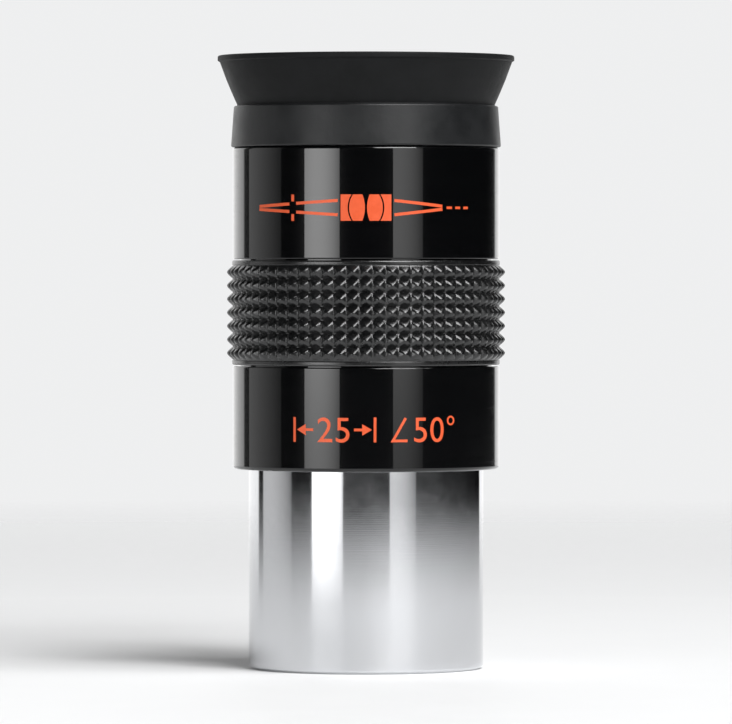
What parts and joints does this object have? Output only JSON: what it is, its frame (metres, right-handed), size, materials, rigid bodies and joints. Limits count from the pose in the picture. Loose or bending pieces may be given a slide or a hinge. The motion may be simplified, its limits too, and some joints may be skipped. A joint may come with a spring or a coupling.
{
  "type": "telescope eyepiece",
  "caption": "Push-fit telescope eyepiece with two cemented lens pairs, a knurled rubber grip, a fold-down eyecup and a screw-in chrome barrel.",
  "frame": {"origin": "centre of the insertion barrel's end face, on the plane that the eyepiece stands on", "axes": "+Z along the optical axis towards the observer's eye, -Y towards the side that carries the printed marks"},
  "size_m": [0.0402, 0.0402, 0.0828],
  "materials": {
    "body_gloss_black": "turned aluminium, gloss black lacquer",
    "grip_rubber": "moulded rubber, satin black, square points",
    "eyecup_rubber": "moulded rubber, matt black",
    "blackened_metal": "matt black anodised aluminium",
    "crown_glass": "polished, green anti-reflection coating, blackened edge",
    "flint_glass": "polished, blue anti-reflection coating, blackened edge",
    "barrel_chrome": "bright chrome plating on brass",
    "orange_print": "orange ink, screen printed on the body"
  },
  "bodies": {
    "barrel": {"insertion_barrel": "barrel_chrome", "field_stop": "blackened_metal"},
    "optics": {"lens_cell": "blackened_metal", "eye_flint_lens": "flint_glass", "eye_crown_lens": "crown_glass", "lens_spacer": "blackened_metal", "field_crown_lens": "crown_glass", "field_flint_lens": "flint_glass", "lens_retaining_ring": "blackened_metal"},
    "body": {"body_shell": "body_gloss_black", "grip_sleeve": "grip_rubber", "eyecup_band": "eyecup_rubber", "eye_end_ring": "blackened_metal"},
    "skirt": {"eyecup_skirt": "eyecup_rubber"}
  },
  "joints": [
    {"name": "body_rise", "type": "slide", "parent": "barrel", "child": "optics", "axis": [0, 0, 1], "range_m": [0, 0.006]},
    {"name": "body_unscrew", "type": "hinge", "parent": "optics", "child": "body", "pos_m": [0, 0, 0.05], "axis": [0, 0, 1], "range_deg": [0, 2881]},
    {"name": "eyecup_fold", "type": "slide", "parent": "body", "child": "skirt", "axis": [0, 0, -1], "range_m": [0, 0.012], "deforming": ["eyecup_skirt"]}
  ],
  "couplings": [
    {"joint": "body_unscrew", "follows": "body_rise", "rad_per_m": 8377.6}
  ]
}
